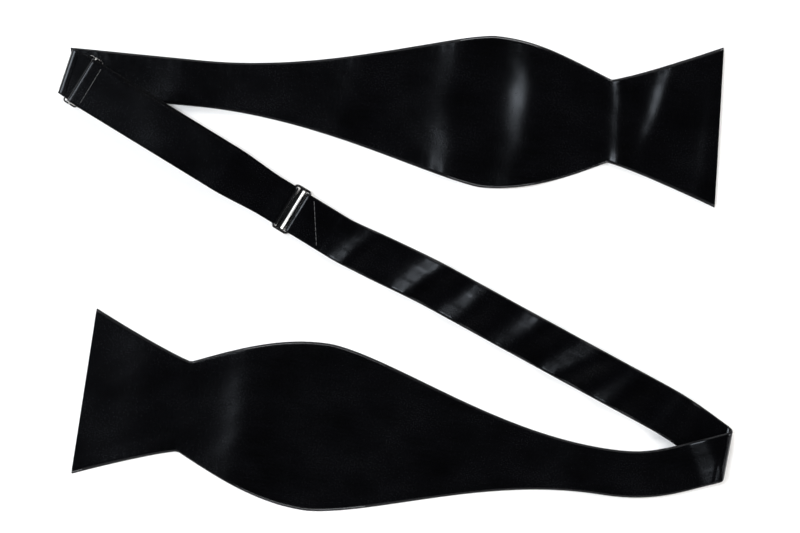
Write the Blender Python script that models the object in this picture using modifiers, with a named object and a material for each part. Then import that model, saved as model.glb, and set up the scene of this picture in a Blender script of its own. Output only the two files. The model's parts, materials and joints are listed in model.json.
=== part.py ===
"""A self-tie bow tie with an adjustable neckband, laid out flat in a Z.

The neckband is folded over at the left and at the right. Between the folds it runs
through a slide adjuster, a doubled strap and a three-bar buckle. Metres, +Z up.
"""

import math
from collections import namedtuple

import bpy
import numpy as np
from mathutils import Matrix, Vector

# Cloth
CLOTH = 0.0003  # one layer of satin
INTERLINING = 0.0005
STRAP = 0.0008  # one layer of the doubled strap, sewn flat
GAP = 0.0003  # left between pieces that touch
SEAM_RIM = 0.0010  # the face slopes down to its edge seam over this width
SEAM_ALLOWANCE = 0.0020  # the interlining stops this far inside the seam
BAND_WIDTH = 0.0206
STRAP_SPREAD = 0.0016  # the strap's two layers lie this far apart sideways
STRAP_WIDTH = BAND_WIDTH + STRAP_SPREAD  # of the two layers together
UPPER_LENGTH = 0.2914  # left fold to the upper tail
LOWER_LENGTH = 0.2882  # right fold to the lower tail
BAND_LENGTH = 0.2215  # buckle to the right fold
STRAP_LENGTH = 0.1195  # left fold to the buckle

Blade = namedtuple("Blade", "tail_half neck_at neck_half bulge_at bulge_half band_at ease")
UPPER = Blade(0.0360, 0.0495, 0.0185, 0.1040, 0.0341, 0.2350, 0.72)
LOWER = Blade(0.0375, 0.0456, 0.0203, 0.1058, 0.0378, 0.2355, 0.80)
TAIL_CURVE = 1.15  # above 1, the tail's two edges are hollow

# Lay of the band in plan: headings in degrees, at distances from where each run starts
STRAP_HEADING = -31.5
UPPER_HEADINGS = [(0.0, -5.6), (0.185, -5.6), (0.245, -3.3)]
BAND_HEADINGS = [
    (0.0, STRAP_HEADING), (0.012, -25.5), (0.035, -25.5), (0.060, -28.8), (0.160, -28.4), (0.190, -36.2)
]
LOWER_HEADINGS = [(0.0, 194.6), (0.012, 194.6), (0.055, 171.2)]
RIGHT_FOLD_RADIUS = 0.0022
FOLD_LEAD = 0.0015  # flat stretch at each end of a fold
SKEW_RUN = 0.030  # the weave turns square to the band over this length
ROW_STEP = 0.006

# Buckle: a wire frame with a loop of band on each outer bar, and a bright bar between
BUCKLE_WIRE = 0.0012
BUCKLE_BAR = 0.0015
BUCKLE_NIP = 0.0005  # the band is drawn in by this on each side where it goes through
STRAP_BAR_AT = 0.0044  # from the middle bar to the bar in the strap
BAND_BAR_AT = 0.0031  # from the middle bar to the bar in the fixed band
BUCKLE_CORNER = 0.0012
STRAP_LEG = 0.0060  # straight part of the strap's loop
BAND_LEG = 0.0175
BAND_FLAP = 0.0160  # end of the fixed band, turned back under it

# Slide adjuster: a wire frame under the strap and a bar bridging over it
SLIDE_WIRE = 0.0008
SLIDE_AT = 0.0090  # from the left fold's outer edge
SLIDE_REACH = 0.0032  # from the bridge bar to each outer bar
SLIDE_CORNER = 0.0010
SLIDE_LEG = 0.0060
SLIDE_FLAP = 0.0080
RAMP = 0.0250  # the strap comes down to the buckle over this length
WIDENING = 0.0120  # the strap widens from the fold over this length

STITCH = 0.0003  # thread thickness
STITCH_SWING = 0.0005
STITCHES = 7
THREAD_GAP = 0.0001
TACK_INSET = 0.0016
BAND_TACK = (0.0030, 0.0145)  # distances from the bar, at the back edge and the front edge
SLIDE_TACK = (0.0045, 0.0045)

# Heights of the middles of the layers, from the table up
SHELL = 2 * CLOTH + INTERLINING + 2 * GAP
BAND_Z = SHELL / 2
SLIDE_FRAME_Z = SHELL + GAP + SLIDE_WIRE / 2
STRAP_Z = SLIDE_FRAME_Z + SLIDE_WIRE / 2 + GAP + STRAP / 2
SLIDE_LOOP_RADIUS = SLIDE_WIRE / 2 + GAP + STRAP / 2
SLIDE_BAR_Z = STRAP_Z + STRAP + GAP + SLIDE_LOOP_RADIUS
RETURN_Z = SLIDE_BAR_Z + SLIDE_LOOP_RADIUS
BUCKLE_LOOP_RADIUS = BUCKLE_WIRE / 2 + GAP + STRAP / 2
BUCKLE_Z = STRAP / 2 + BUCKLE_LOOP_RADIUS
BAND_START_Z = BUCKLE_Z + 0.4 * BUCKLE_LOOP_RADIUS
LOWER_START_Z = BAND_Z + 2 * RIGHT_FOLD_RADIUS
LOWER_RAMP = (0.010, 0.090)  # the lower half comes down to the table between these
BAND_RAMP = 0.030

LOOP_HALF = BAND_WIDTH / 2 - BUCKLE_NIP
LEFT_SKEW = (UPPER_HEADINGS[0][1] - STRAP_HEADING) / 2  # from square to the strap to the crease
LEFT_RADIUS = (STRAP_Z - BAND_Z) / 2
RIGHT_SKEW = (LOWER_HEADINGS[0][1] - BAND_HEADINGS[-1][1] - 180) / 2

UP = Vector((0, 0, 1))
FOLD_STEPS = 8
CORNER_STEPS = 4
Row = namedtuple("Row", "centre across half fall")
Column = namedtuple("Column", "side inset fall")
Layer = namedtuple("Layer", "lift thickness columns edge_drop")
EDGES = [Column(-1, 0, 0), Column(1, 0, 0)]
RIMMED = [Column(-1, 0, 1), Column(-1, SEAM_RIM, 0), Column(1, SEAM_RIM, 0), Column(1, 0, 1)]
INSET = [Column(-1, SEAM_ALLOWANCE, 0), Column(1, SEAM_ALLOWANCE, 0)]
FACE = Layer((SHELL - CLOTH) / 2, CLOTH, RIMMED, INTERLINING + GAP)
BACK = Layer((CLOTH - SHELL) / 2, CLOTH, EDGES, 0)
MIDDLE = Layer(0, INTERLINING, INSET, 0)
SINGLE = Layer(0, STRAP, EDGES, 0)
FOLDED = Layer(0, 2 * CLOTH + INTERLINING, EDGES, 0)


def ease(t):
    t = min(max(t, 0.0), 1.0)
    return t * t * (3 - 2 * t)


def cosine(degrees):
    return math.cos(math.radians(degrees))


def direction(degrees):
    return Vector((cosine(degrees), math.sin(math.radians(degrees)), 0))


def square_to(along):
    return Vector((-along.y, along.x, 0))


def towards_back(across):
    """The same line, pointing to +Y."""
    return across if across.y > 0 else -across


def heading_at(headings, s):
    """Degrees at distance s, turning smoothly from one station to the next."""
    for (a, start), (b, end) in zip(headings, headings[1:]):
        if s < b:
            return start + (end - start) * ease((s - a) / (b - a))
    return headings[-1][1]


def walk(start, length, headings, step=0.0005):
    """The run's line in plan: a function from distance to (point, heading)."""
    count = math.ceil(length / step)
    stations = np.linspace(0, length, count + 1)
    turned = [heading_at(headings, s) for s in stations]
    points = [start]
    for s, a, b in zip(np.diff(stations), turned, turned[1:]):
        points.append(points[-1] + direction((a + b) / 2) * float(s))

    def at(s):
        i = min(max(int(s / length * count), 0), count - 1)
        part = (s - stations[i]) / (stations[i + 1] - stations[i])
        return points[i].lerp(points[i + 1], part), heading_at(headings, s)

    return at


class Fold:
    """The band turned over on itself: a half cylinder about a crease. Both legs leave it on one side.

    base is where the low leg starts to bend, in plan; the headings are those of the legs leaving it.
    """

    def __init__(self, base, low_heading, high_heading, low_z, high_z):
        self.base = base
        self.radius = (high_z - low_z) / 2
        self.z = (high_z + low_z) / 2
        self.half_angle = (high_heading - low_heading) / 2
        self.inward = direction((low_heading + high_heading) / 2)
        self.crease = towards_back(square_to(self.inward))
        low = direction(low_heading)
        self.drift = low.dot(self.crease) / low.dot(self.inward)

    def row(self, q):
        """The row q round the fold: q is 0 at the start of the bend and bend() at its end."""
        angle = min(max(q / self.radius, 0), math.pi)
        straight = -q if q < 0 else max(q - self.bend(), 0)
        inward = straight - self.radius * math.sin(angle)
        centre = self.base + self.inward * inward - self.crease * self.drift * q
        centre = centre + UP * (self.z - self.radius * math.cos(angle))
        return Row(centre, self.crease, BAND_WIDTH / 2 / cosine(self.half_angle), 0)

    def bend(self):
        return math.pi * self.radius

    def rows(self):
        turns = np.linspace(0, self.bend(), FOLD_STEPS + 1)
        return [self.row(float(q)) for q in (-FOLD_LEAD, *turns, self.bend() + FOLD_LEAD)]

    def leg_start(self, high):
        """Where a leg's own pieces start, in plan, a lead and a gap past the bend."""
        clear = FOLD_LEAD + GAP
        centre = self.row(self.bend() + clear if high else -clear).centre
        return Vector((centre.x, centre.y, 0))

    def axis_point(self):
        return self.base - self.crease * self.drift * self.bend() / 2 + UP * self.z


def half_width(blade, s):
    """Half the width at distance s from the tail."""
    band = BAND_WIDTH / 2
    if s <= blade.neck_at:
        flare = (1 - s / blade.neck_at) ** TAIL_CURVE
        return blade.neck_half + (blade.tail_half - blade.neck_half) * flare
    if s <= blade.bulge_at:
        t = (s - blade.neck_at) / (blade.bulge_at - blade.neck_at)
        return blade.neck_half + (blade.bulge_half - blade.neck_half) * math.sin(t * math.pi / 2)
    t = min((s - blade.bulge_at) / (blade.band_at - blade.bulge_at), 1)
    return band + (blade.bulge_half - band) * (1 - ease(t**blade.ease))


def stations(start, end, keep=()):
    count = max(math.ceil((end - start) / ROW_STEP), 1)
    spaced = [float(x) for x in np.linspace(start, end, count + 1)]
    return sorted({*spaced, *(x for x in keep if start < x < end)})


def plan_row(at, s, half, z, skew=0.0, fall=0.0):
    """A level row across the run, turned by skew degrees from square."""
    point, heading = at(s)
    across = towards_back(direction(heading + 90 + skew))
    return Row(point + UP * z, across, half / cosine(skew), fall)


def leg_height(bar_z, radius, end_z, part):
    """Height of a loop's upper leg: over the bar at part 0, and end_z at part 1."""
    return bar_z + radius + (end_z - bar_z - radius) * ease(part)


def loop_rows(bar, along, radius, leg, flap, half, end_z):
    """Rows of a strip that comes along a leg, round a bar and back under it as a flap.

    along points over the bar, away from the legs.
    """
    across = towards_back(square_to(along))
    rows = []
    for part in (1, 0.75, 0.5, 0.25, 0):
        height = leg_height(bar.z, radius, end_z, part)
        rows.append(Row(bar - along * leg * part + UP * (height - bar.z), across, half, 0))
    for turn in np.linspace(0, math.pi, FOLD_STEPS + 1)[1:]:
        offset = along * radius * math.sin(turn) + UP * radius * math.cos(turn)
        rows.append(Row(bar + offset, across, half, 0))
    rows.append(Row(bar - along * flap - UP * radius, across, half, 0))
    return rows


# Materials and objects


def clear_scene():
    for obj in list(bpy.data.objects):
        bpy.data.objects.remove(obj, do_unlink=True)


def material(name, colour, roughness, metallic=0.0, sheen=0.0):
    made = bpy.data.materials.new(name)
    made.use_nodes = True
    shader = made.node_tree.nodes["Principled BSDF"]
    shader.inputs["Base Color"].default_value = (*colour, 1)
    shader.inputs["Roughness"].default_value = roughness
    shader.inputs["Metallic"].default_value = metallic
    shader.inputs["Sheen Weight"].default_value = sheen
    return made


class Model:
    """The tie's collection, and an empty on the joint axis of each moving body."""

    def __init__(self):
        self.collection = bpy.data.collections.new("bow_tie")
        bpy.context.scene.collection.children.link(self.collection)
        self.pivots = {}
        self.looks = {
            "satin": material("black_satin", (0.010, 0.010, 0.013), 0.38, sheen=0.2),
            "interlining": material("interlining", (0.55, 0.53, 0.48), 0.9),
            "thread": material("black_thread", (0.03, 0.03, 0.035), 0.6),
            "enamel": material("black_enamel", (0.012, 0.012, 0.012), 0.25),
            "nickel": material("nickel", (0.78, 0.78, 0.77), 0.16, metallic=1.0),
        }

    def body(self, name, pivot, parent=None):
        empty = bpy.data.objects.new(name + "_pivot", None)
        self.collection.objects.link(empty)
        empty.location = pivot
        if parent:
            empty.parent, origin = self.pivots[parent]
            empty.location = pivot - origin
        self.pivots[name] = (empty, pivot)

    def add(self, name, data, body, look):
        """An object made from data in the tie's coordinates, with its origin on its body's pivot."""
        empty, pivot = self.pivots[body]
        data.transform(Matrix.Translation(-pivot))
        data.materials.append(self.looks[look])
        obj = bpy.data.objects.new(name, data)
        self.collection.objects.link(obj)
        obj.parent = empty
        return obj

    def ribbon(self, name, rows, layer, body, look):
        """A sheet lofted over rows and thickened about its middle."""
        points = []
        for row in rows:
            for column in layer.columns:
                drop = layer.edge_drop * max(column.fall, row.fall)
                across = row.across * column.side * (row.half - column.inset)
                points.append(row.centre + across + UP * (layer.lift - drop))
        wide = len(layer.columns)
        faces = [
            (i * wide + j, i * wide + j + 1, (i + 1) * wide + j + 1, (i + 1) * wide + j)
            for i in range(len(rows) - 1)
            for j in range(wide - 1)
        ]
        mesh = bpy.data.meshes.new(name)
        mesh.from_pydata(points, [], faces)
        obj = self.add(name, mesh, body, look)
        thicken = obj.modifiers.new("thickness", "SOLIDIFY")
        thicken.thickness = layer.thickness
        thicken.offset = 0
        mesh.shade_smooth()
        mesh.set_sharp_from_angle(angle=math.radians(40))
        return obj

    def wire(self, name, points, thickness, body, look, closed=False):
        """A round wire along points; a closed one is a ring."""
        curve = bpy.data.curves.new(name, "CURVE")
        curve.dimensions = "3D"
        curve.bevel_depth = thickness / 2
        curve.bevel_resolution = 2
        curve.use_fill_caps = not closed
        spline = curve.splines.new("POLY")
        spline.points.add(len(points) - 1)
        for point, place in zip(spline.points, points):
            point.co = (*place, 1)
        spline.use_cyclic_u = closed
        return self.add(name, curve, body, look)

    def settle(self, root):
        """Moves the tie so that its box stands on the table, centred on the origin."""
        bpy.context.view_layer.update()
        graph = bpy.context.evaluated_depsgraph_get()
        corners = []
        for obj in self.collection.objects:
            if obj.type != "EMPTY":
                made = obj.evaluated_get(graph)
                mesh = made.to_mesh()
                corners += [made.matrix_world @ vertex.co for vertex in mesh.vertices]
                made.to_mesh_clear()
        low = Vector(map(min, zip(*corners)))
        high = Vector(map(max, zip(*corners)))
        middle = (low + high) / 2
        self.pivots[root][0].location -= Vector((middle.x, middle.y, low.z))


# The tie's pieces


def three_layers(model, prefix, body, rows_between, length, closed_end):
    """Face, back and interlining of a run. rows_between(a, b) gives its rows from a to b."""
    rows = rows_between(0, length)
    if closed_end:
        last = rows[-1]
        rows = rows_between(0, length - SEAM_RIM) + [last._replace(fall=1)]
    model.ribbon(prefix + "_face", rows, FACE, body, "satin")
    model.ribbon(prefix + "_back", rows_between(0, length), BACK, body, "satin")
    inner = rows_between(SEAM_ALLOWANCE, length - SEAM_ALLOWANCE)
    model.ribbon(prefix + "_interlining", inner, MIDDLE, body, "interlining")


def blade_half(model, prefix, body, blade, start, length, headings, skew, height):
    """One half of the tie, from its fold to the tip of its tail."""
    at = walk(start, length, headings)

    def rows_between(a, b):
        neck = length - blade.neck_at
        return [
            plan_row(at, s, half_width(blade, length - s), height(s), skew * (1 - ease(s / SKEW_RUN)))
            for s in stations(a, b, keep=(neck,))
        ]

    three_layers(model, prefix, body, rows_between, length, closed_end=True)


def fixed_band(model, bar, along, fold_of):
    """The plain half of the neckband, from its loop on the buckle to the right fold. Returns the fold."""
    start = bar + along * (BAND_LEG + GAP)
    start.z = 0
    length = BAND_LENGTH - BAND_BAR_AT - BAND_LEG - FOLD_LEAD - 2 * GAP
    at = walk(start, length, BAND_HEADINGS)
    end, heading = at(length)
    fold = fold_of(end + direction(heading) * (FOLD_LEAD + GAP) / cosine(RIGHT_SKEW), heading)

    def rows_between(a, b):
        rows = []
        for s in stations(a, b):
            z = BAND_START_Z + (BAND_Z - BAND_START_Z) * ease(s / BAND_RAMP)
            half = LOOP_HALF + (BAND_WIDTH / 2 - LOOP_HALF) * ease(s / BAND_RAMP)
            skew = RIGHT_SKEW * ease((s - length + SKEW_RUN) / SKEW_RUN)
            rows.append(plan_row(at, s, half, z, skew))
        return rows

    three_layers(model, "fixed_band", "fixed_band", rows_between, length, closed_end=False)
    loop = loop_rows(bar, -along, BUCKLE_LOOP_RADIUS, BAND_LEG, BAND_FLAP, LOOP_HALF, BAND_START_Z)
    model.ribbon("fixed_band_loop", loop, SINGLE, "fixed_band", "satin")
    across = towards_back(square_to(along))
    tack(model, "fixed_band_tack", "fixed_band", bar, along, across, BAND_TACK, LOOP_HALF, band_leg_top)
    return fold


def band_leg_top(reach):
    """Height of the fixed band's upper face at a distance from the buckle's bar."""
    middle = leg_height(BUCKLE_Z, BUCKLE_LOOP_RADIUS, BAND_START_Z, reach / BAND_LEG)
    return middle + STRAP / 2


def slide_leg_top(_reach):
    return RETURN_Z + STRAP / 2


def tack(model, name, body, bar, along, across, reaches, half, top):
    """A zigzag of thread across a loop, which holds its turned-back end. reaches: at +across, at -across."""
    points = []
    for i in range(2 * STITCHES + 1):
        share = i / (2 * STITCHES)
        reach = reaches[0] + (reaches[1] - reaches[0]) * share + STITCH_SWING * (-1) ** i
        side = (half - TACK_INSET) * (1 - 2 * share)
        place = bar + along * reach + across * side
        place.z = top(reach) + THREAD_GAP + STITCH / 2
        points.append(place)
    model.wire(name, points, STITCH, body, "thread")


def strap(model, fold, along, buckle_bar, slide_bar):
    """The doubled strap: its outgoing run, the loop on the buckle, and the return run to the slide."""
    across = towards_back(square_to(along))
    leg = STRAP_LEG + GAP

    def run(name, body, start, end, high_z, low_z, skew, first_half):
        length = (end - start).length
        rows = []
        for s in stations(0, length, keep=(length - RAMP,)):
            near = ease((s - length + RAMP) / RAMP)
            half = first_half + (STRAP_WIDTH / 2 - first_half) * ease(s / WIDENING)
            half += (LOOP_HALF - STRAP_WIDTH / 2) * near
            turned = skew * (1 - ease(s / SKEW_RUN))
            line = direction(STRAP_HEADING + 90 + turned)
            centre = start + (end - start) * (s / length)
            centre.z = high_z + (low_z - high_z) * near
            rows.append(Row(centre, towards_back(line), half / cosine(turned), 0))
        model.ribbon(name, rows, SINGLE, body, "satin")

    loop = loop_rows(
        buckle_bar, along, BUCKLE_LOOP_RADIUS, STRAP_LEG, STRAP_LEG, LOOP_HALF,
        BUCKLE_Z + BUCKLE_LOOP_RADIUS,
    )
    model.ribbon("strap_buckle_loop", loop, SINGLE, "buckle_loop", "satin")
    end = flat(buckle_bar - along * leg)
    run("strap_outgoing", "strap", fold.leg_start(True), end, STRAP_Z, STRAP / 2, LEFT_SKEW, BAND_WIDTH / 2)
    start = flat(slide_bar + along * (SLIDE_LEG + GAP))
    run("strap_return", "slide", start, end, RETURN_Z, BUCKLE_Z + BUCKLE_LOOP_RADIUS, 0, STRAP_WIDTH / 2)
    loop = loop_rows(
        slide_bar, -along, SLIDE_LOOP_RADIUS, SLIDE_LEG, SLIDE_FLAP, STRAP_WIDTH / 2, RETURN_Z
    )
    model.ribbon("strap_slide_loop", loop, SINGLE, "slide", "satin")
    tack(model, "slide_tack", "slide", slide_bar, along, across, SLIDE_TACK, BAND_WIDTH / 2, slide_leg_top)


def flat(point):
    return Vector((point.x, point.y, 0))


def rounded(corners, radius, closed):
    """The points of a bent wire: each corner is turned by an arc of that radius."""
    points = []
    count = len(corners)
    for i, corner in enumerate(corners):
        if not closed and i in (0, count - 1):
            points.append(corner)
            continue
        back = (corners[i - 1] - corner).normalized()
        ahead = (corners[(i + 1) % count] - corner).normalized()
        centre = corner + (back + ahead) * radius
        for turn in np.linspace(0, math.pi / 2, CORNER_STEPS + 1):
            points.append(centre - ahead * radius * math.cos(turn) - back * radius * math.sin(turn))
    return points


def frame_corners(middle, along, across, before, after, half):
    return [
        middle + along * x + across * y
        for x, y in ((-before, half), (after, half), (after, -half), (-before, -half))
    ]


def buckle(model, middle, along, across):
    rail = LOOP_HALF + GAP + BUCKLE_WIRE / 2
    corners = frame_corners(middle, along, across, STRAP_BAR_AT, BAND_BAR_AT, rail)
    ring = rounded(corners, BUCKLE_CORNER, closed=True)
    model.wire("buckle_frame", ring, BUCKLE_WIRE, "buckle_loop", "enamel", closed=True)
    end = across * (rail - BUCKLE_WIRE / 2 - GAP)
    model.wire("buckle_bar", [middle + end, middle - end], BUCKLE_BAR, "buckle_loop", "nickel")


def slide(model, bar, along, across):
    """The adjuster: a frame below the outgoing strap, and a bar that bridges over it for the return."""
    rail = STRAP_WIDTH / 2 + GAP + SLIDE_WIRE / 2
    middle = flat(bar) + UP * SLIDE_FRAME_Z
    corners = frame_corners(middle, along, across, SLIDE_REACH, SLIDE_REACH, rail)
    ring = rounded(corners, SLIDE_CORNER, closed=True)
    model.wire("slide_frame", ring, SLIDE_WIRE, "slide", "enamel", closed=True)
    foot = flat(bar) + UP * (SLIDE_FRAME_Z + SLIDE_WIRE / 2 + GAP)
    staple = [foot + across * rail, bar + across * rail, bar - across * rail, foot - across * rail]
    model.wire("slide_bar", rounded(staple, SLIDE_CORNER, closed=False), SLIDE_WIRE, "slide", "nickel")


def bow_tie():
    along = direction(STRAP_HEADING)
    across = towards_back(square_to(along))
    middle = UP * BUCKLE_Z
    strap_bar = middle - along * STRAP_BAR_AT
    band_bar = middle + along * BAND_BAR_AT
    bend = -along * (STRAP_LENGTH - LEFT_RADIUS / cosine(LEFT_SKEW))
    slide_bar = -along * (STRAP_LENGTH - SLIDE_AT) + UP * SLIDE_BAR_Z
    left = Fold(bend, UPPER_HEADINGS[0][1], STRAP_HEADING, BAND_Z, STRAP_Z)
    left.base = bend + left.crease * left.drift * left.bend()

    def right_fold(base, heading):
        return Fold(base, heading + 180, LOWER_HEADINGS[0][1], BAND_Z, LOWER_START_Z)

    model = Model()
    model.body("upper_half", Vector((0, 0, 0)))
    model.body("strap", left.axis_point(), "upper_half")
    model.body("buckle_loop", strap_bar, "strap")
    model.body("slide", slide_bar, "buckle_loop")
    model.body("fixed_band", band_bar, "buckle_loop")

    blade_half(
        model, "upper", "upper_half", UPPER, left.leg_start(False), UPPER_LENGTH,
        UPPER_HEADINGS, left.half_angle, lambda s: BAND_Z,
    )
    model.ribbon("left_fold_band", left.rows(), SINGLE, "strap", "satin")
    strap(model, left, along, strap_bar, slide_bar)
    slide(model, slide_bar, along, across)
    buckle(model, middle, along, across)
    right = fixed_band(model, band_bar, along, right_fold)
    model.body("lower_half", right.axis_point(), "fixed_band")
    model.ribbon("right_fold_band", right.rows(), FOLDED, "lower_half", "satin")

    def lower_height(s):
        fallen = ease((s - LOWER_RAMP[0]) / (LOWER_RAMP[1] - LOWER_RAMP[0]))
        return LOWER_START_Z + (BAND_Z - LOWER_START_Z) * fallen

    blade_half(
        model, "lower", "lower_half", LOWER, right.leg_start(True), LOWER_LENGTH,
        LOWER_HEADINGS, -right.half_angle, lower_height,
    )
    model.settle("upper_half")
    return model


clear_scene()
bow_tie()
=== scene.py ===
"""Looks of a self-tie bow tie, laid out flat in a Z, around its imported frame. Metres, +Z up."""

import json
import math
from collections import namedtuple

import bmesh
import bpy
import numpy as np
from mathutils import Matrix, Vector


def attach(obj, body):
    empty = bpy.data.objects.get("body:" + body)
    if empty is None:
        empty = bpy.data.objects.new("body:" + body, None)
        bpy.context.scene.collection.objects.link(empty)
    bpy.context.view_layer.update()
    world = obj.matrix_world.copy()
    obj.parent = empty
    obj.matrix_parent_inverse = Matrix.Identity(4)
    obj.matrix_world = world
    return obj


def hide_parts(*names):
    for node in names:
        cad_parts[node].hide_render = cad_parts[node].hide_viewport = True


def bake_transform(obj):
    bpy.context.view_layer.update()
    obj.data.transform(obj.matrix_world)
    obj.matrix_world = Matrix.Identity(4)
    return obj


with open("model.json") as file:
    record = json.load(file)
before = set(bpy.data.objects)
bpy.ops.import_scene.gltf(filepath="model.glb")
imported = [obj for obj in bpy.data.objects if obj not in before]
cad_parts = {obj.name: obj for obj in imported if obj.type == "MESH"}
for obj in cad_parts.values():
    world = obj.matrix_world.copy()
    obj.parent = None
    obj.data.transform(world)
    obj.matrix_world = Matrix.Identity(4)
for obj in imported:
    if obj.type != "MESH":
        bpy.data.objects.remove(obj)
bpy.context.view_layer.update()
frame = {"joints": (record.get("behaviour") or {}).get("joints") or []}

# Sizes, as in the part
CLOTH, INTERLINING, STRAP = 0.0003, 0.0005, 0.0008
GAP = 0.0003
BAND_HALF, STRAP_HALF, BUCKLE_NIP = 0.0103, 0.0111, 0.0005
UPPER_LENGTH, LOWER_LENGTH, BAND_LENGTH, STRAP_LENGTH = 0.2914, 0.2882, 0.2215, 0.1195
Blade = namedtuple("Blade", "tail_half neck_at neck_half bulge_at bulge_half band_at ease")
UPPER = Blade(0.0360, 0.0495, 0.0185, 0.1040, 0.0341, 0.2350, 0.72)
LOWER = Blade(0.0375, 0.0456, 0.0203, 0.1058, 0.0378, 0.2355, 0.80)
TAIL_CURVE = 1.15
STRAP_HEADING = -31.5
UPPER_HEADINGS = [(0.0, -5.6), (0.185, -5.6), (0.245, -3.3)]
BAND_HEADINGS = [
    (0.0, STRAP_HEADING), (0.012, -25.5), (0.035, -25.5), (0.060, -28.8), (0.160, -28.4), (0.190, -36.2)
]
LOWER_HEADINGS = [(0.0, 194.6), (0.012, 194.6), (0.055, 171.2)]
RIGHT_FOLD_RADIUS = 0.0022
FOLD_LEAD = 0.0015
SKEW_RUN = 0.030
BUCKLE_WIRE, BUCKLE_BAR, BUCKLE_CORNER = 0.0012, 0.0015, 0.0012
STRAP_BAR_AT, BAND_BAR_AT = 0.0044, 0.0031
STRAP_LEG, BAND_LEG, BAND_FLAP = 0.0060, 0.0175, 0.0160
SLIDE_WIRE, SLIDE_AT, SLIDE_REACH, SLIDE_CORNER = 0.0008, 0.0090, 0.0032, 0.0010
SLIDE_LEG, SLIDE_FLAP = 0.0060, 0.0080
RAMP, BAND_RAMP, WIDENING = 0.0250, 0.030, 0.0120
LOWER_RAMP = (0.010, 0.090)
BAND_TACK, SLIDE_TACK = (0.0030, 0.0145), (0.0045, 0.0045)

SHELL = 2 * CLOTH + INTERLINING + 2 * GAP
BAND_Z = SHELL / 2
SLIDE_FRAME_Z = SHELL + GAP + SLIDE_WIRE / 2
STRAP_Z = SLIDE_FRAME_Z + SLIDE_WIRE / 2 + GAP + STRAP / 2
SLIDE_LOOP_RADIUS = SLIDE_WIRE / 2 + GAP + STRAP / 2
SLIDE_BAR_Z = STRAP_Z + STRAP + GAP + SLIDE_LOOP_RADIUS
RETURN_Z = SLIDE_BAR_Z + SLIDE_LOOP_RADIUS
BUCKLE_LOOP_RADIUS = BUCKLE_WIRE / 2 + GAP + STRAP / 2
BUCKLE_Z = STRAP / 2 + BUCKLE_LOOP_RADIUS
BAND_START_Z = BUCKLE_Z + 0.4 * BUCKLE_LOOP_RADIUS
LOWER_START_Z = BAND_Z + 2 * RIGHT_FOLD_RADIUS
LOOP_HALF = BAND_HALF - BUCKLE_NIP
LEFT_SKEW = (UPPER_HEADINGS[0][1] - STRAP_HEADING) / 2
RIGHT_SKEW = (LOWER_HEADINGS[0][1] - BAND_HEADINGS[-1][1] - 180) / 2
LEFT_RADIUS = (STRAP_Z - BAND_Z) / 2

# How the cloths lie in the band: half the space between their middles
LOOSE = (SHELL - CLOTH) / 2
TIGHT = (STRAP - CLOTH) / 2
FOLDED = (INTERLINING + CLOTH) / 2
EDGE_ROLL = 0.0010  # the rolling cloth comes down to the other over this width
SEAM_SHOWS = 0.0008  # width of the turned edge that has lost its shine
CANVAS_INSET = 0.0026  # the interlining stops this far inside the edge
SPREAD_RUN = 0.020  # the cloths come together over this length before a fold
ROW_STEP = 0.0015
OVERLAP = 0.0003  # rows of a fold stop this far short of the run that follows
RETURN_INSET = 0.0006  # the strap's upper layer is this much narrower, and lies as much aside
OUTGOING_WIDENING = 0.0050  # the lower layer is at its full width before the slide
LEG_LEAD, LEG_TRIM = 0.0008, 0.0006  # rows left out where the upper layer meets its loops
UP = np.array((0.0, 0.0, 1.0))


def ease(t):
    """0 to 1 with level ends."""
    t = np.clip(t, 0.0, 1.0)
    return t * t * (3 - 2 * t)


def direction(degrees):
    """The level unit vector at a heading, counted from +X towards +Y."""
    a = math.radians(degrees)
    return np.array((math.cos(a), math.sin(a), 0.0))


def square_to(along):
    """The level line square to along, pointing to +Y."""
    across = np.array((-along[1], along[0], 0.0))
    return across if across[1] > 0 else -across


def heading_at(headings, s):
    for (a, start), (b, end) in zip(headings, headings[1:]):
        if s < b:
            return start + (end - start) * float(ease((s - a) / (b - a)))
    return headings[-1][1]


class Path:
    """A run's line in plan, by distance from its start."""

    def __init__(self, start, length, headings):
        self.headings = headings
        self.s = np.linspace(0, length, math.ceil(length / 0.0005) + 1)
        turned = [heading_at(headings, float(x)) for x in self.s]
        steps = [direction((a + b) / 2) * d for a, b, d in zip(turned, turned[1:], np.diff(self.s))]
        self.points = np.vstack([start, start + np.cumsum(steps, axis=0)])

    def at(self, s):
        point = np.array([np.interp(s, self.s, self.points[:, i]) for i in range(3)])
        return point, heading_at(self.headings, s)


class Fold:
    """The band turned over on itself about a crease: base is where the low leg starts to bend."""

    def __init__(self, base, low_heading, high_heading, low_z, high_z):
        self.base = base
        self.radius = (high_z - low_z) / 2
        self.z = (high_z + low_z) / 2
        self.half_angle = math.radians((high_heading - low_heading) / 2)
        self.inward = direction((low_heading + high_heading) / 2)
        self.crease = square_to(self.inward)
        low = direction(low_heading)
        self.drift = low.dot(self.crease) / low.dot(self.inward)
        self.bend = math.pi * self.radius

    def place(self, q):
        """(point, outward normal) at q round the fold."""
        angle = min(max(q / self.radius, 0), math.pi)
        normal = -self.inward * math.sin(angle) - UP * math.cos(angle)
        straight = -q if q < 0 else max(q - self.bend, 0)
        point = self.base + self.inward * straight - self.crease * self.drift * q
        return point + UP * self.z + normal * self.radius, normal

    def leg_start(self, high):
        clear = FOLD_LEAD + GAP
        point, _ = self.place(self.bend + clear if high else -clear)
        return point * (1, 1, 0)


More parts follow.
